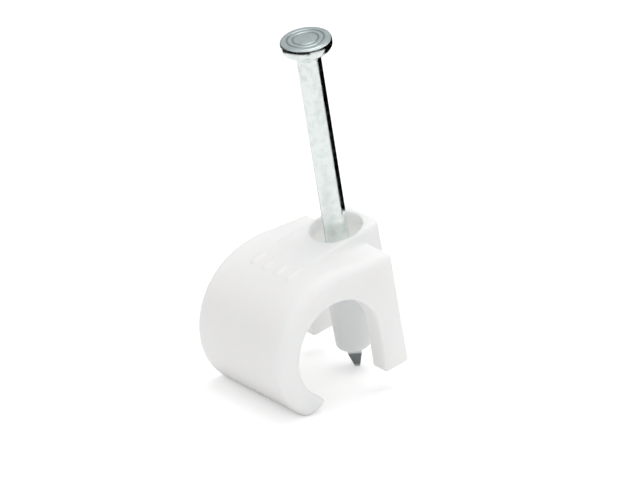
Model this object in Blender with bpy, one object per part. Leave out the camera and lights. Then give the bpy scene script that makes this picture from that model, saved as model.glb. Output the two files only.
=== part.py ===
"""Round cable clip with its nail, as it comes out of the box.

Two pieces: the clip is one white polypropylene moulding, an open hook for the cable with two
feet and a nail guide beside it, and the nail is hardened, zinc-plated steel, held by friction
in the guide until a hammer drives it home.

Frame: metres, +Z up along the nail. The origin is on the nail's axis in the plane of the feet,
which is the wall that the clip is nailed to. X runs across the cable, with the hook at -X, and
Y runs along the cable.
"""

import math

import bmesh
import bpy
from mathutils import Vector

MM = 0.001

# Cable hollow and the hook around it
HOLLOW_RADIUS = 4.78 * MM
HOLLOW_HEIGHT = 5.00 * MM
HOOK_WALL_AT_HEEL = 2.22 * MM
HOOK_WALL_AT_CROWN = 2.93 * MM
CROWN_ANGLE = math.radians(102.0)
HEEL_ANGLE = math.radians(-38.0)
HEEL_EASING = 0.60 * MM
HEEL_FLAT = 0.25 * MM
TIP_ANGLE = math.radians(-55.0)
TIP_NOSE_RADIUS = 0.36 * MM

# Width along the cable, and the two legs that stand on the wall
CLIP_WIDTH = 12.7 * MM
LEG_INNER_FACE = 1.45 * MM
LEG_OUTER_FACE = 1.40 * MM
LEG_WIDTH = 2.00 * MM
LEG_DRAFT = math.radians(0.7)
POCKET_HEIGHT = 8.20 * MM
POCKET_CORNER_RADIUS = 0.50 * MM

# Edge radii of the moulding
HOOK_EDGE_RADIUS = 0.70 * MM
ROOF_EDGE_RADIUS = 1.30 * MM
LEG_EDGE_RADIUS = 0.25 * MM
INNER_EDGE_RADIUS = 0.22 * MM
ROOF_CORNER_RADIUS = 0.60 * MM
FOOT_CORNER_RADIUS = 0.30 * MM

# Nail guide between the legs
GUIDE_RADIUS = 1.75 * MM
GUIDE_DRAFT = math.radians(1.0)
GUIDE_CLEARANCE_TO_WALL = 0.15 * MM
GUIDE_EDGE_RADIUS = 0.35 * MM

# Boss that leaves the crown along a tangent, with the cup that takes the nail's head
BOSS_TANGENT_ANGLE = math.radians(90.0)
BOSS_HALF_WIDTH = 2.90 * MM
BOSS_OUTER_END = 3.15 * MM
BOSS_CORNER_RADIUS = 0.90 * MM
BOSS_RIM_RADIUS = 0.30 * MM
BOSS_DRAFT = math.radians(1.0)
CORBEL_TOP = 9.90 * MM
CORBEL_HEIGHT = 2.60 * MM
CUP_DEPTH = 1.20 * MM
CUP_CLEARANCE = 0.10 * MM

# Nail
NAIL_DIAMETER = 2.30 * MM
NAIL_LENGTH = 35.0 * MM
NAIL_STAND_OUT = 2.14 * MM
NAIL_HEAD_DIAMETER = 4.82 * MM
NAIL_HEAD_RIM = 1.00 * MM
NAIL_HEAD_CONE = 0.90 * MM
NAIL_HEAD_EDGE = 0.25 * MM
NAIL_POINT_ANGLE = math.radians(14.0)
NAIL_POINT_FLAT = 0.50 * MM
NAIL_FIT = 0.05 * MM

# How far a cut runs on past the face that it opens
CUT_OVERRUN = 1.0 * MM

# Facets
HOLLOW_SEGMENTS = 64
ROUND_SEGMENTS = 48
CORNER_SEGMENTS = 5
EDGE_SEGMENTS = 4

NAIL_RADIUS = NAIL_DIAMETER / 2
HEAD_RADIUS = NAIL_HEAD_DIAMETER / 2
BORE_RADIUS = NAIL_RADIUS + NAIL_FIT
CUP_RADIUS = HEAD_RADIUS + CUP_CLEARANCE
HOLLOW_X = -(LEG_INNER_FACE + HOLLOW_RADIUS)


def clear_scene():
    for obj in list(bpy.data.objects):
        bpy.data.objects.remove(obj, do_unlink=True)


def material(name, colour, roughness, metallic=0.0):
    mat = bpy.data.materials.new(name)
    mat.use_nodes = True
    shader = mat.node_tree.nodes["Principled BSDF"]
    shader.inputs["Base Color"].default_value = (*colour, 1.0)
    shader.inputs["Roughness"].default_value = roughness
    shader.inputs["Metallic"].default_value = metallic
    return mat


def new_object(name, bm):
    bmesh.ops.recalc_face_normals(bm, faces=bm.faces)
    mesh = bpy.data.meshes.new(name)
    bm.to_mesh(mesh)
    bm.free()
    obj = bpy.data.objects.new(name, mesh)
    bpy.context.collection.objects.link(obj)
    return obj


def smooth(obj, angle=math.radians(32.0)):
    obj.data.shade_smooth()
    obj.data.set_sharp_from_angle(angle=angle)


def tool_body(name, bm):
    """A solid that only shapes the moulding: hidden, and never a piece of its own."""
    obj = new_object(name, bm)
    obj.hide_render = True
    obj.display_type = "WIRE"
    return obj


def boolean(target, tool, operation):
    modifier = target.modifiers.new(tool.name, "BOOLEAN")
    modifier.operation = operation
    modifier.solver = "EXACT"
    modifier.object = tool


# Outline helpers, all in the XZ plane

def eased_corner(start, corner, end, steps=CORNER_SEGMENTS):
    """Points of a rounded corner that leaves start and reaches end along the two sides."""
    points = []
    for i in range(steps + 1):
        t = i / steps
        points.append(start * (1 - t) ** 2 + corner * 2 * t * (1 - t) + end * t ** 2)
    return points


def corner_between(previous, corner, following, radius):
    """Rounded corner at a sharp one, of about the given radius."""
    back = (previous - corner).normalized()
    ahead = (following - corner).normalized()
    half = back.angle(ahead) / 2
    reach = radius / math.tan(half)
    return eased_corner(corner + back * reach, corner, corner + ahead * reach)


def around_hollow(angle, radius):
    """Point at an angle above the hollow's far side, measured clockwise over the crown."""
    return Vector((HOLLOW_X - radius * math.cos(angle), HOLLOW_HEIGHT + radius * math.sin(angle)))


def hook_wall(angle):
    """The hook's wall thickens from the heel towards the crown, slowly at first."""
    share = (angle - HEEL_ANGLE) / (CROWN_ANGLE - HEEL_ANGLE)
    return HOOK_WALL_AT_HEEL + (HOOK_WALL_AT_CROWN - HOOK_WALL_AT_HEEL) * share ** 2


def crown_tangent(angle):
    """Direction towards the legs in which the hook's outside runs at an angle over the crown."""
    step = math.radians(0.5)
    ahead = around_hollow(angle + step, HOLLOW_RADIUS + hook_wall(angle + step))
    behind = around_hollow(angle - step, HOLLOW_RADIUS + hook_wall(angle - step))
    return (ahead - behind).normalized()


def clip_outline():
    """Side view of the hook and leg: points, each with the radius of its edge to the end faces."""
    outer = []
    radii = []

    def add(points, edge_radius):
        outer.extend(points)
        radii.extend([edge_radius] * len(points))

    # Outer leg face, roof corner and roof, which leaves the crown along its tangent
    crown = around_hollow(CROWN_ANGLE, HOLLOW_RADIUS + hook_wall(CROWN_ANGLE))
    roof = crown_tangent(CROWN_ANGLE)
    foot = Vector((LEG_OUTER_FACE, 0.0))
    rise = Vector((-math.sin(LEG_DRAFT), math.cos(LEG_DRAFT)))
    gap = crown - foot
    along = (gap.x * roof.y - gap.y * roof.x) / (rise.x * roof.y - rise.y * roof.x)
    roof_corner = foot + rise * along
    foot_inside = Vector((-LEG_INNER_FACE, 0.0))
    add(corner_between(foot_inside, foot, roof_corner, FOOT_CORNER_RADIUS), LEG_EDGE_RADIUS)
    add(corner_between(foot, roof_corner, crown, ROOF_CORNER_RADIUS), ROOF_CORNER_RADIUS)
    leg_side = len(outer) - CORNER_SEGMENTS - 1
    radii[leg_side] = LEG_EDGE_RADIUS

    # Over the crown and down the far side to the heel
    turns = round(HOLLOW_SEGMENTS * (CROWN_ANGLE - HEEL_ANGLE) / (2 * math.pi))
    for i in range(turns + 1):
        angle = CROWN_ANGLE + (HEEL_ANGLE - CROWN_ANGLE) * i / turns
        edge_radius = ROOF_EDGE_RADIUS + (HOOK_EDGE_RADIUS - ROOF_EDGE_RADIUS) * i / turns
        add([around_hollow(angle, HOLLOW_RADIUS + hook_wall(angle))], edge_radius)

    # Rounded heel, the flat that lies on the wall, and the nose of the tip
    heel = outer[-1]
    down = (outer[-1] - outer[-2]).normalized()
    heel_corner = heel + down * (heel.y / -down.y)
    flat_start = heel_corner + Vector((HEEL_EASING, 0.0))
    flat_end = flat_start + Vector((HEEL_FLAT, 0.0))
    nose = around_hollow(TIP_ANGLE, HOLLOW_RADIUS + TIP_NOSE_RADIUS)
    lowest = nose + Vector((0.0, -TIP_NOSE_RADIUS))
    underside = eased_corner(heel, heel_corner, flat_start)[1:]
    underside += eased_corner(flat_end, Vector(((flat_end.x + lowest.x) / 2, 0.0)), lowest)
    for point in underside:
        share = min(1.0, max(0.0, (lowest.x - point.x) / (lowest.x - heel.x)))
        add([point], INNER_EDGE_RADIUS + (HOOK_EDGE_RADIUS - INNER_EDGE_RADIUS) * share)
    toward = math.atan2(HOLLOW_HEIGHT - nose.y, HOLLOW_X - nose.x)
    for i in range(1, CORNER_SEGMENTS):
        angle = -math.pi / 2 + (toward + math.pi / 2) * i / CORNER_SEGMENTS
        add([nose + Vector((math.cos(angle), math.sin(angle))) * TIP_NOSE_RADIUS], INNER_EDGE_RADIUS)

    # The hollow itself, from the tip round to the inner face of the leg
    turns = round(HOLLOW_SEGMENTS * (math.pi - TIP_ANGLE) / (2 * math.pi))
    for i in range(turns + 1):
        angle = TIP_ANGLE + (math.pi - TIP_ANGLE) * i / turns
        add([around_hollow(angle, HOLLOW_RADIUS)], INNER_EDGE_RADIUS)
    add(corner_between(outer[-1], foot_inside, foot, FOOT_CORNER_RADIUS), INNER_EDGE_RADIUS)
    return outer, radii


def eased_radii(radii, passes=3):
    """Lets the edge radius change gradually where the outer and the inner edges meet."""
    for _ in range(passes):
        radii = [(radii[i - 1] + radii[i] + radii[(i + 1) % len(radii)]) / 3 for i in range(len(radii))]
    return radii


def inward_normals(points):
    """Unit normals into the material, for an outline that runs counter-clockwise seen from -Y."""
    normals = []
    for i, point in enumerate(points):
        following = points[(i + 1) % len(points)]
        edge_in = (point - points[i - 1]).normalized()
        edge_out = (following - point).normalized()
        mean = (edge_in + edge_out).normalized()
        stretch = 1 / max(0.5, mean.dot(edge_in))
        normals.append(Vector((-mean.y, mean.x)) * stretch)
    return normals


def side_profile_solid():
    """Hook and legs as one extrusion along Y, with rounded edges at both end faces."""
    points, radii = clip_outline()
    radii = eased_radii(radii)
    normals = inward_normals(points)
    bm = bmesh.new()
    rings = []
    for side in (-1, 1):
        turns = [math.pi / 2 * i / EDGE_SEGMENTS for i in range(EDGE_SEGMENTS + 1)]
        for turn in (reversed(turns) if side < 0 else turns):
            ring = []
            for point, radius, normal in zip(points, radii, normals):
                inset = point + normal * radius * (1 - math.cos(turn))
                y = side * (CLIP_WIDTH / 2 - radius * (1 - math.sin(turn)))
                ring.append(bm.verts.new((inset.x, y, inset.y)))
            rings.append(ring)
    for near, far in zip(rings, rings[1:]):
        for i in range(len(near)):
            j = (i + 1) % len(near)
            bm.faces.new((near[i], near[j], far[j], far[i]))
    bm.faces.new(rings[0])
    bm.faces.new(rings[-1])
    return new_object("clip", bm)


def turned(name, profile, segments=ROUND_SEGMENTS, body=tool_body):
    """A solid of revolution about Z from (radius, height) points, both ends on the axis."""
    bm = bmesh.new()
    verts = [bm.verts.new((radius, 0.0, height)) for radius, height in profile]
    edges = [bm.edges.new(pair) for pair in zip(verts, verts[1:])]
    bmesh.ops.spin(bm, geom=verts + edges, axis=(0, 0, 1), cent=(0, 0, 0), dvec=(0, 0, 0),
                   angle=2 * math.pi, steps=segments, use_merge=True, use_duplicate=False)
    bmesh.ops.remove_doubles(bm, verts=bm.verts, dist=1e-7)
    return body(name, bm)


def rounded_rectangle(x_low, x_high, half_width, radius, height):
    """Corner points of a rectangle with round corners, in the XY plane at a height."""
    corners = ((x_high, half_width, 0.0), (x_low, half_width, 90.0),
               (x_low, -half_width, 180.0), (x_high, -half_width, 270.0))
    ring = []
    for x, y, start in corners:
        centre = Vector((x - math.copysign(radius, x - (x_low + x_high) / 2),
                         y - math.copysign(radius, y)))
        for i in range(CORNER_SEGMENTS + 1):
            angle = math.radians(start + 90.0 * i / CORNER_SEGMENTS)
            ring.append((centre.x + radius * math.cos(angle), centre.y + radius * math.sin(angle), height))
    return ring


def lofted(name, rings):
    bm = bmesh.new()
    loops = [[bm.verts.new(point) for point in ring] for ring in rings]
    for low, high in zip(loops, loops[1:]):
        for i in range(len(low)):
            j = (i + 1) % len(low)
            bm.faces.new((low[i], low[j], high[j], high[i]))
    bm.faces.new(loops[0])
    bm.faces.new(loops[-1])
    bmesh.ops.remove_doubles(bm, verts=bm.verts, dist=1e-7)
    return tool_body(name, bm)


def guide_radius(height):
    return GUIDE_RADIUS + (height - GUIDE_CLEARANCE_TO_WALL) * math.tan(GUIDE_DRAFT)


def boss_top(x):
    """Height of the boss's top plane, which is tangent to the crown."""
    start = around_hollow(BOSS_TANGENT_ANGLE, HOLLOW_RADIUS + hook_wall(BOSS_TANGENT_ANGLE))
    slope = crown_tangent(BOSS_TANGENT_ANGLE)
    return start.y + (x - start.x) * slope.y / slope.x


def boss_solid():
    """Boss with drafted walls and a rounded rim, carried on a corbel that narrows to the guide."""
    start = around_hollow(BOSS_TANGENT_ANGLE, HOLLOW_RADIUS + hook_wall(BOSS_TANGENT_ANGLE))
    corbel_foot = CORBEL_TOP - CORBEL_HEIGHT
    root = guide_radius(corbel_foot)
    full = math.tan(BOSS_DRAFT) * (boss_top(BOSS_OUTER_END) - CORBEL_TOP)
    rings = [rounded_rectangle(-root, root, root, root, corbel_foot),
             rounded_rectangle(start.x, BOSS_OUTER_END + full,
                               BOSS_HALF_WIDTH + full, BOSS_CORNER_RADIUS + full, CORBEL_TOP)]
    for i in range(EDGE_SEGMENTS + 1):
        turn = math.pi / 2 * i / EDGE_SEGMENTS
        inset = BOSS_RIM_RADIUS * (1 - math.cos(turn))
        drop = BOSS_RIM_RADIUS * (1 - math.sin(turn))
        flat = rounded_rectangle(start.x, BOSS_OUTER_END - inset,
                                 BOSS_HALF_WIDTH - inset, BOSS_CORNER_RADIUS - inset, 0.0)
        rings.append([(x, y, boss_top(x) - drop) for x, y, _ in flat])
    return lofted("boss_form", rings)


def guide_solid():
    """Tapered tube that steers the nail, with a rounded lower edge."""
    foot = GUIDE_CLEARANCE_TO_WALL
    profile = [(0.0, foot), (GUIDE_RADIUS - GUIDE_EDGE_RADIUS, foot)]
    for i in range(1, EDGE_SEGMENTS + 1):
        turn = math.pi / 2 * i / EDGE_SEGMENTS
        profile.append((GUIDE_RADIUS - GUIDE_EDGE_RADIUS * (1 - math.sin(turn)),
                        foot + GUIDE_EDGE_RADIUS * (1 - math.cos(turn))))
    profile += [(guide_radius(CORBEL_TOP), CORBEL_TOP), (0.0, CORBEL_TOP)]
    return turned("guide_form", profile)


def pocket_solid():
    """Space between the legs, open to the cable hollow, to the outside and to the wall."""
    half = CLIP_WIDTH / 2 - LEG_WIDTH
    inner_end = HOLLOW_X + math.sqrt(HOLLOW_RADIUS ** 2 - (POCKET_HEIGHT - HOLLOW_HEIGHT) ** 2)
    outer_end = LEG_OUTER_FACE + CUT_OVERRUN
    below_wall = -CUT_OVERRUN
    radius = POCKET_CORNER_RADIUS
    bm = bmesh.new()
    ring = [(-half, below_wall), (half, below_wall)]
    for centre_y, start in ((half - radius, 0.0), (radius - half, 90.0)):
        for i in range(CORNER_SEGMENTS + 1):
            angle = math.radians(start + 90.0 * i / CORNER_SEGMENTS)
            ring.append((centre_y + radius * math.cos(angle),
                         POCKET_HEIGHT - radius + radius * math.sin(angle)))
    face = bm.faces.new([bm.verts.new((inner_end, y, z)) for y, z in ring])
    extruded = bmesh.ops.extrude_face_region(bm, geom=[face])
    moved = [item for item in extruded["geom"] if isinstance(item, bmesh.types.BMVert)]
    bmesh.ops.translate(bm, verts=moved, vec=(outer_end - inner_end, 0.0, 0.0))
    return tool_body("pocket_cutter", bm)


def cup_and_bore_solid():
    """Cup for the nail's head, its cone seat and the bore down through the guide."""
    seat = boss_top(0.0) - CUP_DEPTH
    above = boss_top(BOSS_OUTER_END) + CUT_OVERRUN
    profile = [(0.0, -CUT_OVERRUN), (BORE_RADIUS, -CUT_OVERRUN), (BORE_RADIUS, seat - NAIL_HEAD_CONE),
               (CUP_RADIUS, seat), (CUP_RADIUS, above), (0.0, above)]
    return turned("cup_and_bore_cutter", profile)


def build_clip():
    clip = side_profile_solid()
    boolean(clip, pocket_solid(), "DIFFERENCE")
    boolean(clip, boss_solid(), "UNION")
    boolean(clip, guide_solid(), "UNION")
    boolean(clip, cup_and_bore_solid(), "DIFFERENCE")
    smooth(clip)
    clip.data.materials.append(material("white_polypropylene", (0.90, 0.90, 0.89), 0.42))
    return clip


def build_nail():
    """Nail with a flat round-edged head, a short cone under it, and a point cut by four flats."""
    top = NAIL_LENGTH - NAIL_STAND_OUT
    rim_low = top - NAIL_HEAD_RIM
    profile = [(0.0, -NAIL_STAND_OUT), (NAIL_RADIUS, -NAIL_STAND_OUT),
               (NAIL_RADIUS, rim_low - NAIL_HEAD_CONE)]
    for edge_centre, start in ((rim_low + NAIL_HEAD_EDGE, -math.pi / 2), (top - NAIL_HEAD_EDGE, 0.0)):
        for i in range(EDGE_SEGMENTS + 1):
            turn = start + math.pi / 2 * i / EDGE_SEGMENTS
            profile.append((HEAD_RADIUS - NAIL_HEAD_EDGE * (1 - math.cos(turn)),
                            edge_centre + NAIL_HEAD_EDGE * math.sin(turn)))
    profile.append((0.0, top))
    nail = turned("nail", profile, body=new_object)
    cut_point(nail)
    smooth(nail)
    nail.data.materials.append(material("zinc_plated_steel", (0.62, 0.64, 0.65), 0.22, 1.0))
    return nail


def cut_point(nail):
    bm = bmesh.new()
    bm.from_mesh(nail.data)
    for i in range(4):
        turn = math.pi / 4 + math.pi / 2 * i
        outward = Vector((math.cos(turn), math.sin(turn), 0.0))
        through = outward * NAIL_POINT_FLAT / 2 + Vector((0.0, 0.0, -NAIL_STAND_OUT))
        normal = outward * math.cos(NAIL_POINT_ANGLE) - Vector((0.0, 0.0, math.sin(NAIL_POINT_ANGLE)))
        cut = bmesh.ops.bisect_plane(bm, geom=bm.verts[:] + bm.edges[:] + bm.faces[:], dist=1e-8,
                                     plane_co=through, plane_no=normal, clear_outer=True)
        rim = [item for item in cut["geom_cut"] if isinstance(item, bmesh.types.BMEdge)]
        bmesh.ops.contextual_create(bm, geom=rim)
    bmesh.ops.recalc_face_normals(bm, faces=bm.faces)
    bm.to_mesh(nail.data)
    bm.free()


clear_scene()
build_clip()
build_nail()
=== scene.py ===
"""Looks of a nail-in cable clip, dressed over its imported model.

The clip is one white polypropylene moulding, and the nail is hardened steel with a bright zinc
plate. Lengths are in metres, in the model's own frame: +Z runs up the nail and the feet stand on
Z = 0. The clip lies as it came to rest, on the underside of its hook and the point of its nail,
so the floor under it is tilted in that frame.
"""

import logging
import math
from dataclasses import dataclass
from enum import Enum
from functools import reduce
from typing import Dict, List, Optional, Sequence, Tuple, Union

import bmesh
import bpy
import numpy as np
from mathutils import Matrix, Vector


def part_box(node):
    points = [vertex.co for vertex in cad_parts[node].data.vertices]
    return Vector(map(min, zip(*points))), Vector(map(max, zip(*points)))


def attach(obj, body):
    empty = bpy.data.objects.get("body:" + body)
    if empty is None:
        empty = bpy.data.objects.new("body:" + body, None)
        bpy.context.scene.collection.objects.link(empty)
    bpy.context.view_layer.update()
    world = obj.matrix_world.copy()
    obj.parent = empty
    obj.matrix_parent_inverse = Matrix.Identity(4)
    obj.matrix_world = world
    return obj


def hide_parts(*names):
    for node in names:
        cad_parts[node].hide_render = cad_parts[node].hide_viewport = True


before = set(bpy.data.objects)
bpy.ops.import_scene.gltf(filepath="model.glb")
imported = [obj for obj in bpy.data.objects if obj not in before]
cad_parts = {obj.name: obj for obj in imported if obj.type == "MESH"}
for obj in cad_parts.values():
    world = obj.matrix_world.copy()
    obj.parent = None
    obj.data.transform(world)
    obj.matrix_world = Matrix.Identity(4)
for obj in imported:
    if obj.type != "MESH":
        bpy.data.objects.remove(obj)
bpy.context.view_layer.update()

MM = 0.001
PER_MM = 1000.0
MERGE_DISTANCE = 1e-7
CUT_TOLERANCE = 1e-8
SOFT_PULL = 0.5
MIDDLE_NOISE = 0.5
log = logging.getLogger("cable_clip")

# The rings struck into the nail's head, in millimetres
RING_RADII = (1.20, 1.72)
RING_WIDTH = 0.26

Colour = Tuple[float, float, float]
Point = Tuple[float, float]
Span = Tuple[float, float]


class Body(Enum):
    """The bodies that pieces ride on."""

    CLIP = "clip"
    NAIL = "nail"


class Reading:
    """A number that varies over a surface. Arithmetic on it adds Math nodes."""

    def __init__(self, bench: "NodeBench", socket: bpy.types.NodeSocket) -> None:
        """Wraps a socket of a node tree.

        Args:
            bench: the tree's node maker.
            socket: the output that gives the number.
        """
        self.bench = bench
        self.socket = socket

    def __add__(self, other: "Amount") -> "Reading":
        """Sum."""
        return self.bench.maths("ADD", self, other)

    def __sub__(self, other: "Amount") -> "Reading":
        """Difference."""
        return self.bench.maths("SUBTRACT", self, other)

    def __rsub__(self, other: "Amount") -> "Reading":
        """Difference, reflected."""
        return self.bench.maths("SUBTRACT", other, self)

    def __mul__(self, other: "Amount") -> "Reading":
        """Product."""
        return self.bench.maths("MULTIPLY", self, other)

    def at_least(self, other: "Amount") -> "Reading":
        """The larger of the two."""
        return self.bench.maths("MAXIMUM", self, other)

    def step(self, low: float, high: float) -> "Reading":
        """Turns the reading into a mask with a smooth rise.

        Args:
            low: where the rise starts, with 0 below it.
            high: where it ends, with 1 above it.

        Returns:
            The mask.
        """
        rise = self.bench.node("ShaderNodeMapRange", {"interpolation_type": "SMOOTHSTEP"},
                               {"Value": self, "From Min": low, "From Max": high})
        return Reading(self.bench, rise.outputs["Result"])


Amount = Union[Reading, float]
Feed = Union[Reading, bpy.types.NodeSocket, float, Sequence[float]]


@dataclass(frozen=True)
class NoiseForm:
    """How a soft noise looks: features to a unit of place, octaves, and weight of the finer octaves."""

    scale: float
    octaves: float = 2.0
    fineness: float = 0.5


class NodeBench:
    """Adds nodes to one node tree."""

    def __init__(self, tree: bpy.types.NodeTree) -> None:
        """Starts on a tree.

        Args:
            tree: the material's or world's node tree.
        """
        self.tree = tree

    def feed(self, socket: bpy.types.NodeSocket, value: Feed) -> None:
        """Links a reading or socket to an input, or sets the input's own value.

        Args:
            socket: the input.
            value: what it gets.
        """
        source = value.socket if isinstance(value, Reading) else value
        if isinstance(source, bpy.types.NodeSocket):
            self.tree.links.new(source, socket)
        else:
            socket.default_value = source

    def node(self, kind: str, settings: Optional[Dict[str, object]] = None,
             sockets: Optional[Dict[Union[str, int], Feed]] = None) -> bpy.types.Node:
        """Adds a node.

        Args:
            kind: the node's Blender type.
            settings: its properties, which are set first.
            sockets: its inputs by name or place, each with a value or a link.

        Returns:
            The node.
        """
        made = self.tree.nodes.new(kind)
        for name, value in (settings or {}).items():
            setattr(made, name, value)
        for name, value in (sockets or {}).items():
            self.feed(made.inputs[name], value)
        return made

    def maths(self, operation: str, first: Amount, second: Amount) -> Reading:
        """Adds a Math node on two amounts."""
        made = self.node("ShaderNodeMath", {"operation": operation}, {0: first, 1: second})
        return Reading(self, made.outputs[0])

    def colour_mix(self, share: Feed, first: Feed, second: Feed) -> bpy.types.NodeSocket:
        """Mixes two colours.

        Args:
            share: 0 gives the first colour, 1 the second.
            first: a colour of four numbers, or a colour socket.
            second: the same.

        Returns:
            The mixed colour's socket.
        """
        made = self.node("ShaderNodeMix", {"data_type": "RGBA"})
        wanted = {"Factor_Float": share, "A_Color": first, "B_Color": second}
        for socket in made.inputs:
            if socket.identifier in wanted:
                self.feed(socket, wanted[socket.identifier])
        return next(s for s in made.outputs if s.identifier == "Result_Color")

    def place(self) -> bpy.types.NodeSocket:
        """Place on the piece in millimetres, in the model's frame."""
        here = self.node("ShaderNodeTexCoord")
        return self.stretch(here.outputs["Object"], (PER_MM, PER_MM, PER_MM))

    def stretch(self, place: bpy.types.NodeSocket, by: Sequence[float]) -> bpy.types.NodeSocket:
        """A place with each of its axes multiplied."""
        made = self.node("ShaderNodeVectorMath", {"operation": "MULTIPLY"}, {0: place, 1: by})
        return made.outputs["Vector"]

    def height(self, place: bpy.types.NodeSocket) -> Reading:
        """The Z of a place."""
        split = self.node("ShaderNodeSeparateXYZ", None, {"Vector": place})
        return Reading(self, split.outputs["Z"])

    def radius(self, place: bpy.types.NodeSocket) -> Reading:
        """Distance from the nail's axis.

        Args:
            place: where it is read.

        Returns:
            The distance, in units of place.
        """
        flat = self.stretch(place, (1.0, 1.0, 0.0))
        made = self.node("ShaderNodeVectorMath", {"operation": "LENGTH"}, {0: flat})
        return Reading(self, made.outputs["Value"])

    def noise(self, place: bpy.types.NodeSocket, form: NoiseForm) -> Reading:
        """Soft noise from 0 to 1.

        Args:
            place: where it is read.
            form: how it looks.

        Returns:
            The noise.
        """
        made = self.node("ShaderNodeTexNoise", {"noise_dimensions": "3D"},
                         {"Vector": place, "Scale": form.scale, "Detail": form.octaves,
                          "Roughness": form.fineness})
        return Reading(self, made.outputs[0])

    def bump(self, height: Reading, depth: float,
             over: Optional[bpy.types.NodeSocket] = None) -> bpy.types.NodeSocket:
        """A normal that shows a height.

        Args:
            height: the height, from 0 to 1.
            depth: metres that a height of 1 stands up.
            over: a normal that this one adds to.

        Returns:
            The normal's socket.
        """
        sockets: Dict[Union[str, int], Feed] = {"Height": height, "Distance": depth}
        if over is not None:
            sockets["Normal"] = over
        return self.node("ShaderNodeBump", None, sockets).outputs["Normal"]


def opaque(colour: Colour) -> Tuple[float, float, float, float]:
    """A colour with full alpha."""
    return (*colour, 1.0)


def new_material(name: str) -> Tuple[bpy.types.Material, NodeBench, bpy.types.Node]:
    """Makes a material.

    Args:
        name: the material's name.

    Returns:
        The material, its bench and its Principled shader.
    """
    made = bpy.data.materials.new(name)
    made.use_nodes = True
    return made, NodeBench(made.node_tree), made.node_tree.nodes["Principled BSDF"]


@dataclass(frozen=True)
class MouldedPolypropylene:
    """White polypropylene with the fine grain of a spark-eroded mould."""

    colour: Colour = (0.975, 0.975, 0.962)
    cloud_colour: Colour = (0.957, 0.959, 0.949)
    cloud: NoiseForm = NoiseForm(0.30, 3.0, 0.55)
    cloud_span: Span = (0.35, 0.7)
    grain: NoiseForm = NoiseForm(7.0, 3.0, 0.6)
    grain_depth: float = 0.0016 * MM
    ripple: NoiseForm = NoiseForm(0.55, 1.0, 0.4)
    ripple_depth: float = 0.010 * MM
    roughness: float = 0.50
    roughness_swing: float = 0.14
    grain_share: float = 0.6
    refraction: float = 1.49
    shine: float = 0.45
    glow_through: float = 0.80
    glow_scale: float = 1.5 * MM
    glow_reach: Colour = (1.0, 0.92, 0.84)

    def material(self) -> bpy.types.Material:
        """Builds the material.

        Returns:
            The material.
        """
        made, bench, shader = new_material("moulded_polypropylene")
        place = bench.place()
        cloud = bench.noise(place, self.cloud)
        grain = bench.noise(place, self.grain)
        ripple = bench.noise(place, self.ripple)
        bench.feed(shader.inputs["Base Color"],
                   bench.colour_mix(cloud.step(*self.cloud_span), opaque(self.colour),
                                    opaque(self.cloud_colour)))
        swing = grain * self.grain_share + cloud * (1.0 - self.grain_share) - MIDDLE_NOISE
        bench.feed(shader.inputs["Roughness"], swing * self.roughness_swing + self.roughness)
        waves = bench.bump(ripple, self.ripple_depth)
        bench.feed(shader.inputs["Normal"], bench.bump(grain, self.grain_depth, over=waves))
        shader.inputs["IOR"].default_value = self.refraction
        shader.inputs["Specular IOR Level"].default_value = self.shine
        shader.inputs["Subsurface Weight"].default_value = self.glow_through
        shader.inputs["Subsurface Scale"].default_value = self.glow_scale
        shader.inputs["Subsurface Radius"].default_value = self.glow_reach
        return made


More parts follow.
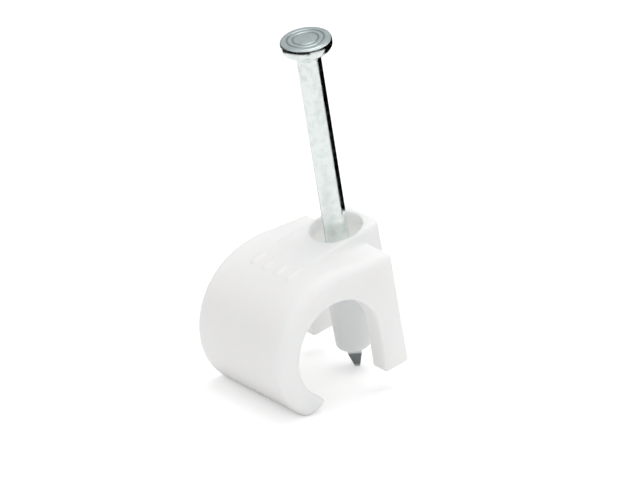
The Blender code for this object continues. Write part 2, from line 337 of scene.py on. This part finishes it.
@dataclass(frozen=True)
class ZincPlate:
    """Bright zinc on drawn steel wire, duller on the struck head, whose face is also coloured darker as
    painted reflection. The point is bare steel, coloured darker still as painted shade, and its worn end
    is coloured pale as painted reflection of the floor.

    Heights and radii are in millimetres.
    """

    bright: Colour = (0.905, 0.955, 0.93)
    dull: Colour = (0.77, 0.84, 0.83)
    # Partly the duller plate of the struck face, partly painted reflection: the face is coloured darker to
    # stand in for the grey it reflects from above.
    struck_face_and_painted_reflection: Colour = (0.53, 0.605, 0.615)
    # Partly bare steel, partly painted shade: the point is coloured darker to stand in for the shade and
    # dark reflections it sits in under the clip.
    bare_steel_and_painted_shade: Colour = (0.27, 0.285, 0.29)
    # Partly the worn bright end, partly painted reflection: the end is coloured pale to stand in for the
    # white floor it reflects.
    worn_tip_and_painted_reflection: Colour = (0.62, 0.64, 0.65)
    grooves: Tuple[float, ...] = RING_RADII
    groove_half_width: float = RING_WIDTH / 2
    # Painted shade: the grooves in the head's face are coloured darker to stand in for the shade that
    # falls in them.
    painted_groove_shade: Colour = (0.30, 0.345, 0.35)
    face_below_top: Span = (0.15, 0.10)
    point_above_end: Span = (1.54, 1.79)
    tip_above_end: Span = (0.19, 0.29)
    drawn_stretch: Tuple[float, float, float] = (9.0, 9.0, 0.35)
    drawn: NoiseForm = NoiseForm(1.0, 3.0, 0.6)
    drawn_span: Span = (0.45, 0.75)
    drawn_depth: float = 0.006 * MM
    blotch: NoiseForm = NoiseForm(1.5, 3.0, 0.6)
    blotch_span: Span = (0.38, 0.72)
    blotch_share: float = 0.7
    pit: NoiseForm = NoiseForm(6.0)
    pit_depth: float = 0.004 * MM
    roughness: float = 0.13
    roughness_swing: float = 0.16
    face_roughness: float = 0.14
    point_roughness: float = 0.20

    def material(self) -> bpy.types.Material:
        """Builds the material.

        Returns:
            The material.
        """
        made, bench, shader = new_material("zinc_plate")
        place = bench.place()
        lines = bench.noise(bench.stretch(place, self.drawn_stretch), self.drawn)
        blotches = bench.noise(place, self.blotch)
        pits = bench.noise(place, self.pit)
        dullness = (blotches.step(*self.blotch_span) * self.blotch_share
                    + lines.step(*self.drawn_span) * (1.0 - self.blotch_share))
        plated = bench.colour_mix(dullness, opaque(self.bright), opaque(self.dull))
        end, top = (corner.z * PER_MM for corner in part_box("nail"))
        height = bench.height(place)
        on_face = height.step(*(top - below for below in self.face_below_top))
        on_point = 1.0 - height.step(*(end + above for above in self.point_above_end))
        on_tip = 1.0 - height.step(*(end + above for above in self.tip_above_end))
        # The grooves are coloured darker here as painted shade.
        face = bench.colour_mix(self.in_grooves(bench.radius(place)), opaque(self.struck_face_and_painted_reflection),
                                opaque(self.painted_groove_shade))
        # The head's face is coloured darker here as painted reflection.
        headed = bench.colour_mix(on_face, plated, face)
        # The point is coloured dark as painted shade, and its end pale as painted reflection.
        point_tones = bench.colour_mix(on_tip, opaque(self.bare_steel_and_painted_shade), opaque(self.worn_tip_and_painted_reflection))
        bench.feed(shader.inputs["Base Color"], bench.colour_mix(on_point, headed, point_tones))
        wear = (dullness * self.roughness_swing + on_face * self.face_roughness
                + on_point * self.point_roughness)
        bench.feed(shader.inputs["Roughness"], wear + self.roughness)
        drawn = bench.bump(lines, self.drawn_depth)
        bench.feed(shader.inputs["Normal"], bench.bump(pits, self.pit_depth, over=drawn))
        shader.inputs["Metallic"].default_value = 1.0
        return made

    def in_grooves(self, radius: Reading) -> Reading:
        """How deep a place on the head's face is in one of its grooves.

        Args:
            radius: distance from the nail's axis.

        Returns:
            0 outside the grooves and 1 in their middle.
        """
        masks = []
        for groove in self.grooves:
            away = radius - groove
            masks.append(1.0 - (away * away).step(0.0, self.groove_half_width ** 2))
        return reduce(Reading.at_least, masks)


@dataclass(frozen=True)
class FloorFinish:
    """White paper sweep, lit from below a little for the camera alone, so that it shows white."""

    colour: Colour = (0.93, 0.93, 0.93)
    own_light: float = 0.27
    roughness: float = 0.9
    tooth: NoiseForm = NoiseForm(2.0)
    tooth_swing: float = 0.05

    def material(self) -> bpy.types.Material:
        """Builds the material.

        Returns:
            The material.
        """
        made, bench, shader = new_material("paper_sweep")
        tooth = bench.noise(bench.place(), self.tooth)
        bench.feed(shader.inputs["Roughness"], tooth * self.tooth_swing + self.roughness)
        shader.inputs["Base Color"].default_value = opaque(self.colour)
        shader.inputs["Specular IOR Level"].default_value = 0.0
        rays = bench.node("ShaderNodeLightPath")
        bench.feed(shader.inputs["Emission Color"], rays.outputs["Is Camera Ray"])
        shader.inputs["Emission Strength"].default_value = self.own_light
        return made


@dataclass(frozen=True)
class CardFinish:
    """A card beside the set that only reflections show."""

    name: str
    level: float

    def material(self) -> bpy.types.Material:
        """Builds the material.

        Returns:
            The material.
        """
        made = bpy.data.materials.new(self.name)
        made.use_nodes = True
        made.node_tree.nodes.clear()
        bench = NodeBench(made.node_tree)
        glow = bench.node("ShaderNodeEmission", None,
                          {"Color": opaque((self.level,) * 3), "Strength": 1.0})
        out = bench.node("ShaderNodeOutputMaterial")
        bench.feed(out.inputs["Surface"], glow.outputs["Emission"])
        return made


def object_from(name: str, bm: bmesh.types.BMesh) -> bpy.types.Object:
    """Turns a bmesh into a linked object with smooth faces.

    Args:
        name: the object's name.
        bm: the mesh, which is freed.

    Returns:
        The object.
    """
    mesh = bpy.data.meshes.new(name)
    bm.to_mesh(mesh)
    bm.free()
    mesh.shade_smooth()
    made = bpy.data.objects.new(name, mesh)
    bpy.context.scene.collection.objects.link(made)
    return made


def mesh_points(mesh: bpy.types.Mesh) -> np.ndarray:
    """The corners of a mesh.

    Args:
        mesh: the mesh.

    Returns:
        Its points, one row each.
    """
    points = np.empty(len(mesh.vertices) * 3, np.float32)
    mesh.vertices.foreach_get("co", points)
    return points.reshape(-1, 3).astype(float)


def within(values: np.ndarray, span: Span, fade: float) -> np.ndarray:
    """1 inside a span and 0 outside it, with a straight fade on both ends."""
    inside = np.minimum(values - span[0], span[1] - values)
    return np.clip(inside / fade, 0.0, 1.0)


def softened(points: np.ndarray, ends: np.ndarray, share: np.ndarray, rounds: int) -> np.ndarray:
    """Moves points towards the middle of their neighbours.

    Args:
        points: the points, one row each.
        ends: the two points of each edge.
        share: how much each point takes part, from 0 to 1.
        rounds: how many times.

    Returns:
        The moved points.
    """
    count = len(points)
    first = np.concatenate((ends[:, 0], ends[:, 1]))
    second = np.concatenate((ends[:, 1], ends[:, 0]))
    neighbours = np.maximum(np.bincount(first, minlength=count), 1)
    pull = SOFT_PULL * share[:, None]
    for _ in range(rounds):
        sums = [np.bincount(first, points[second, axis], minlength=count) for axis in range(3)]
        middle = np.stack(sums, axis=1) / neighbours[:, None]
        points = points + (middle - points) * pull
    return points


@dataclass(frozen=True)
class GripMarks:
    """A short row of low bars across the crown of the hook."""

    along: Tuple[float, ...] = (-2.6 * MM, -0.9 * MM, 0.8 * MM, 2.5 * MM)
    half_width: float = 0.36 * MM
    edge: float = 0.16 * MM
    height: float = 0.13 * MM
    hook_centre: Point = (-6.23 * MM, 5.00 * MM)
    turn: float = math.radians(80.0)
    half_turn: float = math.radians(6.5)
    least_radius: float = 6.6 * MM

    def lift(self, points: np.ndarray) -> np.ndarray:
        """Raises the bars.

        Args:
            points: the skin's points, one row each.

        Returns:
            The moved points.
        """
        out = points[:, (0, 2)] - np.array(self.hook_centre)
        radius = np.maximum(np.linalg.norm(out, axis=1), self.edge)
        turn = np.arctan2(out[:, 1], -out[:, 0])
        around = (self.half_turn - np.abs(turn - self.turn)) * radius
        across = self.half_width - np.abs(points[:, 1, None] - np.array(self.along)).min(axis=1)
        rise = np.clip(np.minimum(around, across) / self.edge, 0.0, 1.0)
        rise = rise * rise * (3.0 - 2.0 * rise) * self.height * (radius > self.least_radius)
        moved = points.copy()
        moved[:, (0, 2)] += out / radius[:, None] * rise[:, None]
        return moved


@dataclass
class Moulding:
    """The clip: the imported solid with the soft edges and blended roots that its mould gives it."""

    voxel: float = 0.122 * MM
    soft_rounds: int = 5
    root_rounds: int = 45
    root_sides: Span = (2.75 * MM, 3.45 * MM)
    root_heights: Span = (11.2 * MM, 12.55 * MM)
    root_side_fade: float = 0.15 * MM
    root_height_fade: float = 0.25 * MM
    marks: GripMarks = GripMarks()
    finish: MouldedPolypropylene = MouldedPolypropylene()

    def build(self) -> bpy.types.Object:
        """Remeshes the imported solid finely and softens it.

        Returns:
            The clip's piece.
        """
        bm = bmesh.new()
        bm.from_mesh(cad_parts["clip"].data)
        bmesh.ops.remove_doubles(bm, verts=bm.verts, dist=MERGE_DISTANCE)
        rough = object_from("clip_rough", bm)
        remesh = rough.modifiers.new("fine_skin", "REMESH")
        remesh.mode = "VOXEL"
        remesh.voxel_size = self.voxel
        evaluated = rough.evaluated_get(bpy.context.evaluated_depsgraph_get())
        fine = bmesh.new()
        fine.from_mesh(evaluated.to_mesh())
        bpy.data.objects.remove(rough, do_unlink=True)
        made = object_from("clip_moulding", fine)
        self.shape(made.data)
        return made

    def shape(self, mesh: bpy.types.Mesh) -> None:
        """Evens the skin, blends the boss into the roof and raises the marks.

        Args:
            mesh: the fine mesh.
        """
        points = mesh_points(mesh)
        pairs = np.empty(len(mesh.edges) * 2, np.int32)
        mesh.edges.foreach_get("vertices", pairs)
        ends = pairs.reshape(-1, 2)
        points = softened(points, ends, np.ones(len(points)), self.soft_rounds)
        points = softened(points, ends, self.root_share(points), self.root_rounds)
        points = self.marks.lift(points)
        low, high = (np.array(corner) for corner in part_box("clip"))
        mesh.vertices.foreach_set("co", np.clip(points, low, high).astype(np.float32).ravel())
        mesh.update()

    def root_share(self, points: np.ndarray) -> np.ndarray:
        """How far each point belongs to the root of the boss's long walls, from 0 to 1."""
        side = within(np.abs(points[:, 1]), self.root_sides, self.root_side_fade)
        return side * within(points[:, 2], self.root_heights, self.root_height_fade)

    def dress(self, piece: bpy.types.Object) -> None:
        """Gives the clip its plastic and its place in the model.

        Args:
            piece: the clip's piece.
        """
        piece.data.materials.append(self.finish.material())
        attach(piece, Body.CLIP.value)
        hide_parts("clip")


@dataclass
class Nail:
    """The nail, turned about its axis, with a round-edged head and a point cut by four flats."""

    shank_radius: float = 1.15 * MM
    head_radius: float = 2.41 * MM
    head_rim: float = 1.00 * MM
    rim_bulge: Tuple[Point, ...] = ((0.25, -0.16), (0.13, -0.02), (0.045, 0.12), (0.01, 0.26), (0.0, 0.40),
                                    (0.0, 0.58), (0.006, 0.67), (0.02, 0.76), (0.042, 0.85), (0.07, 0.91),
                                    (0.11, 0.955), (0.16, 0.985), (0.22, 1.0))
    head_cone: float = 0.90 * MM
    neck_radius: float = 0.25 * MM
    neck_steps: int = 6
    ring_radii: Tuple[float, ...] = tuple(radius * MM for radius in RING_RADII)
    ring_width: float = RING_WIDTH * MM
    ring_depth: float = 0.055 * MM
    ring_steps: int = 8
    point_angle: float = math.radians(14.0)
    point_flat: float = 0.50 * MM
    point_flats: int = 4
    segments: int = 160
    sharp_angle: float = math.radians(35.0)
    finish: ZincPlate = ZincPlate()

    def head_face(self, top: float) -> List[Point]:
        """The head's top from its edge to the axis, with struck rings.

        Args:
            top: height of the face.

        Returns:
            Profile points.
        """
        points: List[Point] = []
        for radius in sorted(self.ring_radii, reverse=True):
            for i in range(self.ring_steps + 1):
                across = 0.5 - i / self.ring_steps
                dip = 0.5 + 0.5 * math.cos(2 * math.pi * across)
                points.append((radius + self.ring_width * across, top - self.ring_depth * dip))
        points.append((0.0, top))
        return points

    def profile(self) -> List[Point]:
        """Half section of the nail from its point to the middle of its head.

        Returns:
            Profile points, each a radius and a height.
        """
        low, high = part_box("nail")
        bottom, top = low.z, high.z
        under = top - self.head_rim
        points: List[Point] = [(0.0, bottom), (self.shank_radius, bottom)]
        points += self.neck(under)
        points += [(self.head_radius - dip * MM, under + rise * MM) for dip, rise in self.rim_bulge]
        return points + self.head_face(top)

    def neck(self, under: float) -> List[Point]:
        """The rounded meeting of the shank and the head's cone.

        Args:
            under: height of the cone's wide end.

        Returns:
            Profile points.
        """
        corner = Vector((self.shank_radius, under - self.head_cone))
        wide = Vector((self.head_radius - self.rim_bulge[0][0] * MM, under))
        start = corner - Vector((0.0, self.neck_radius))
        end = corner + (wide - corner).normalized() * self.neck_radius
        points = []
        for i in range(self.neck_steps + 1):
            t = i / self.neck_steps
            point = start * (1 - t) ** 2 + corner * 2 * t * (1 - t) + end * t ** 2
            points.append((point.x, point.y))
        return points

    def build(self) -> bpy.types.Object:
        """Spins the profile and cuts the point.

        Returns:
            The nail's piece.
        """
        bm = bmesh.new()
        verts = [bm.verts.new((radius, 0.0, height)) for radius, height in self.profile()]
        edges = [bm.edges.new(pair) for pair in zip(verts, verts[1:])]
        bmesh.ops.spin(bm, geom=verts + edges, axis=(0, 0, 1), cent=(0, 0, 0), dvec=(0, 0, 0),
                       angle=2 * math.pi, steps=self.segments, use_merge=True, use_duplicate=False)
        bmesh.ops.remove_doubles(bm, verts=bm.verts, dist=MERGE_DISTANCE)
        self.cut_point(bm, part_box("nail")[0].z)
        bmesh.ops.recalc_face_normals(bm, faces=bm.faces)
        made = object_from("nail_plated", bm)
        made.data.set_sharp_from_angle(angle=self.sharp_angle)
        return made

    def cut_point(self, bm: bmesh.types.BMesh, bottom: float) -> None:
        """Cuts the flats of the point.

        Args:
            bm: the nail's mesh.
            bottom: height of the point's blunt end.
        """
        apart = 2 * math.pi / self.point_flats
        for i in range(self.point_flats):
            turn = apart / 2 + apart * i
            outward = Vector((math.cos(turn), math.sin(turn), 0.0))
            through = outward * self.point_flat / 2 + Vector((0.0, 0.0, bottom))
            normal = outward * math.cos(self.point_angle) - Vector((0.0, 0.0, math.sin(self.point_angle)))
            cut = bmesh.ops.bisect_plane(bm, geom=bm.verts[:] + bm.edges[:] + bm.faces[:],
                                         dist=CUT_TOLERANCE, plane_co=through, plane_no=normal,
                                         clear_outer=True)
            rim = [item for item in cut["geom_cut"] if isinstance(item, bmesh.types.BMEdge)]
            bmesh.ops.contextual_create(bm, geom=rim)

    def dress(self, piece: bpy.types.Object) -> None:
        """Gives the nail its plate and its place in the model.

        Args:
            piece: the nail's piece.
        """
        piece.data.materials.append(self.finish.material())
        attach(piece, Body.NAIL.value)
        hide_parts("nail")


@dataclass
class Ground:
    """The plane that the clip lies on, and the room's directions seen from it."""

    most_tilt: float = math.radians(30.0)
    halvings: int = 50
    tilt: float = 0.0
    drop: float = 0.0

    def settle(self) -> None:
        """Finds the tilt at which the hook and the nail's point touch one plane."""
        clip, nail = (mesh_points(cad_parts[name].data) for name in ("clip", "nail"))
        low, high = 0.0, self.most_tilt
        for _ in range(self.halvings):
            self.tilt = (low + high) / 2
            up = np.array(self.up())
            if (nail @ up).min() < (clip @ up).min():
                low = self.tilt
            else:
                high = self.tilt
        self.drop = float(min((nail @ up).min(), (clip @ up).min()))

    def up(self) -> Vector:
        """The room's up in the model's frame."""
        return Vector((math.sin(self.tilt), 0.0, math.cos(self.tilt)))

    def matrix(self) -> Matrix:
        """Takes room coordinates, with the floor at Z = 0, to the model's frame."""
        return Matrix.Translation(self.up() * self.drop) @ Matrix.Rotation(self.tilt, 4, "Y")


@dataclass(frozen=True)
class Card:
    """A flat ring sector or wall that shows only in reflections. Azimuth 0 is at -Y, 90 at +X."""

    name: str
    level: float
    azimuths: Span
    radii: Span
    heights: Span = (0.3 * MM, 0.3 * MM)
    steps: int = 24

    def build(self, ground: Ground) -> None:
        """Builds the card in the room.

        Args:
            ground: gives the room's frame.
        """
        bm = bmesh.new()
        start, end = self.azimuths
        rows = []
        for i in range(self.steps + 1):
            turn = math.radians(start + (end - start) * i / self.steps)
            out = Vector((math.sin(turn), -math.cos(turn), 0.0))
            rows.append([bm.verts.new(out * radius + Vector((0.0, 0.0, height)))
                         for radius, height in zip(self.radii, self.heights)])
        for near, far in zip(rows, rows[1:]):
            bm.faces.new((near[0], near[1], far[1], far[0]))
        made = object_from(self.name, bm)
        made.matrix_world = ground.matrix()
        made.data.materials.append(CardFinish(self.name, self.level).material())
        for ray in ("camera", "diffuse", "shadow", "transmission", "volume_scatter"):
            setattr(made, f"visible_{ray}", False)


@dataclass(frozen=True)
class Lamp:
    """A far, broad lamp. Azimuth 0 is at -Y, 90 at +X; angles are in degrees."""

    name: str
    strength: float
    spread: float
    azimuth: float
    elevation: float

    def build(self, ground: Ground) -> None:
        """Hangs the lamp.

        Args:
            ground: gives the room's up.
        """
        azimuth, elevation = math.radians(self.azimuth), math.radians(self.elevation)
        toward = Vector((math.sin(azimuth) * math.cos(elevation), -math.cos(azimuth) * math.cos(elevation),
                         math.sin(elevation)))
        data = bpy.data.lights.new(self.name, "SUN")
        data.energy = self.strength
        data.angle = math.radians(self.spread)
        lamp = bpy.data.objects.new(self.name, data)
        lamp.rotation_euler = (ground.matrix().to_3x3() @ toward).to_track_quat("Z", "Y").to_euler()
        bpy.context.scene.collection.objects.link(lamp)


@dataclass
class Studio:
    """Light tent: white all round, a soft lamp overhead, a weak one in front, and dark cards.

    The cards give the metal its contrast.
    """

    fill: float = 0.635
    lamps: Tuple[Lamp, ...] = (
        Lamp("overhead_lamp", 1.00, 50.0, azimuth=125.0, elevation=74.0),
        Lamp("front_lamp", 0.29, 70.0, azimuth=-12.0, elevation=38.0))
    cards: Tuple[Card, ...] = (
        Card("dark_side_card", 0.0, azimuths=(46.0, 143.0), radii=(30.0 * MM, 110.0 * MM)),
        Card("dark_front_floor", 0.0, azimuths=(-166.0, -25.0), radii=(57.0 * MM, 200.0 * MM)),
        Card("dark_far_floor", 0.0, azimuths=(-25.0, 194.0), radii=(97.0 * MM, 200.0 * MM)),
        Card("dark_skirting", 0.0, azimuths=(-180.0, 180.0), radii=(200.0 * MM, 200.0 * MM),
             heights=(0.0, 40.0 * MM)),
        Card("grey_back_card", 0.62, azimuths=(60.0, 240.0), radii=(260.0 * MM, 120.0 * MM),
             heights=(60.0 * MM, 320.0 * MM)))
    floor_radius: float = 300.0 * MM
    floor_segments: int = 96
    finish: FloorFinish = FloorFinish()

    def build_floor(self, ground: Ground) -> None:
        """Lays the floor under the clip.

        Args:
            ground: gives the floor's plane.
        """
        bm = bmesh.new()
        bmesh.ops.create_circle(bm, cap_ends=True, segments=self.floor_segments, radius=self.floor_radius)
        floor = object_from("floor", bm)
        floor.matrix_world = ground.matrix()
        floor.data.materials.append(self.finish.material())

    def build_world(self) -> None:
        """Makes the tent: white to the eye and in metal, a little lower as a light."""
        world = bpy.data.worlds.new("light_tent")
        world.use_nodes = True
        bench = NodeBench(world.node_tree)
        rays = bench.node("ShaderNodeLightPath")
        seen = Reading(bench, rays.outputs["Is Camera Ray"])
        seen = seen.at_least(Reading(bench, rays.outputs["Is Glossy Ray"]))
        seen = seen.at_least(Reading(bench, rays.outputs["Is Transmission Ray"]))
        background = world.node_tree.nodes["Background"]
        background.inputs["Color"].default_value = (1.0, 1.0, 1.0, 1.0)
        bench.feed(background.inputs["Strength"], seen * (1.0 - self.fill) + self.fill)
        bpy.context.scene.world = world

    def build(self, ground: Ground) -> None:
        """Builds the whole studio.

        Args:
            ground: the plane that the clip lies on.
        """
        self.build_floor(ground)
        self.build_world()
        for thing in self.lamps + self.cards:
            thing.build(ground)
        bpy.context.scene.view_settings.view_transform = "Standard"


@dataclass
class PhotoCamera:
    """The photograph's camera, placed in the model's frame.

    Angles are in radians. The sensor and the lens are in millimetres.
    """

    yaw: float = 0.6200592
    pitch: float = 0.5158239
    roll: float = 0.1616817
    distance: float = 433.295 * MM
    aside: float = -3.26696 * MM
    above: float = 9.91443 * MM
    sensor: float = 36.0
    lens: float = 258.618
    clip_ratio: Span = (0.01, 10.0)

    def build(self) -> None:
        """Places the camera and makes it the scene's."""
        back = Vector((-math.sin(self.yaw) * math.cos(self.pitch),
                       -math.cos(self.yaw) * math.cos(self.pitch), math.sin(self.pitch)))
        right = Vector((0.0, 0.0, 1.0)).cross(back).normalized()
        axes = Matrix((right, back.cross(right), back)).transposed().to_4x4()
        turned = axes @ Matrix.Rotation(-self.roll, 4, "Z")
        data = bpy.data.cameras.new("photo_camera")
        data.sensor_width = self.sensor
        data.lens = self.lens
        data.clip_start, data.clip_end = (self.distance * ratio for ratio in self.clip_ratio)
        camera = bpy.data.objects.new("photo_camera", data)
        camera.matrix_world = turned @ Matrix.Translation((self.aside, self.above, self.distance))
        bpy.context.scene.collection.objects.link(camera)
        bpy.context.scene.camera = camera


def main() -> None:
    """Builds the pieces, the studio and the camera."""
    logging.basicConfig(level=logging.INFO, format="%(name)s: %(message)s")
    for part in (Moulding(), Nail()):
        piece = part.build()
        part.dress(piece)
        log.info("%s: %d faces", piece.name, len(piece.data.polygons))
    ground = Ground()
    ground.settle()
    log.info("floor tilted %.2f degrees", math.degrees(ground.tilt))
    Studio().build(ground)
    PhotoCamera().build()


if __name__ == "__main__":
    main()
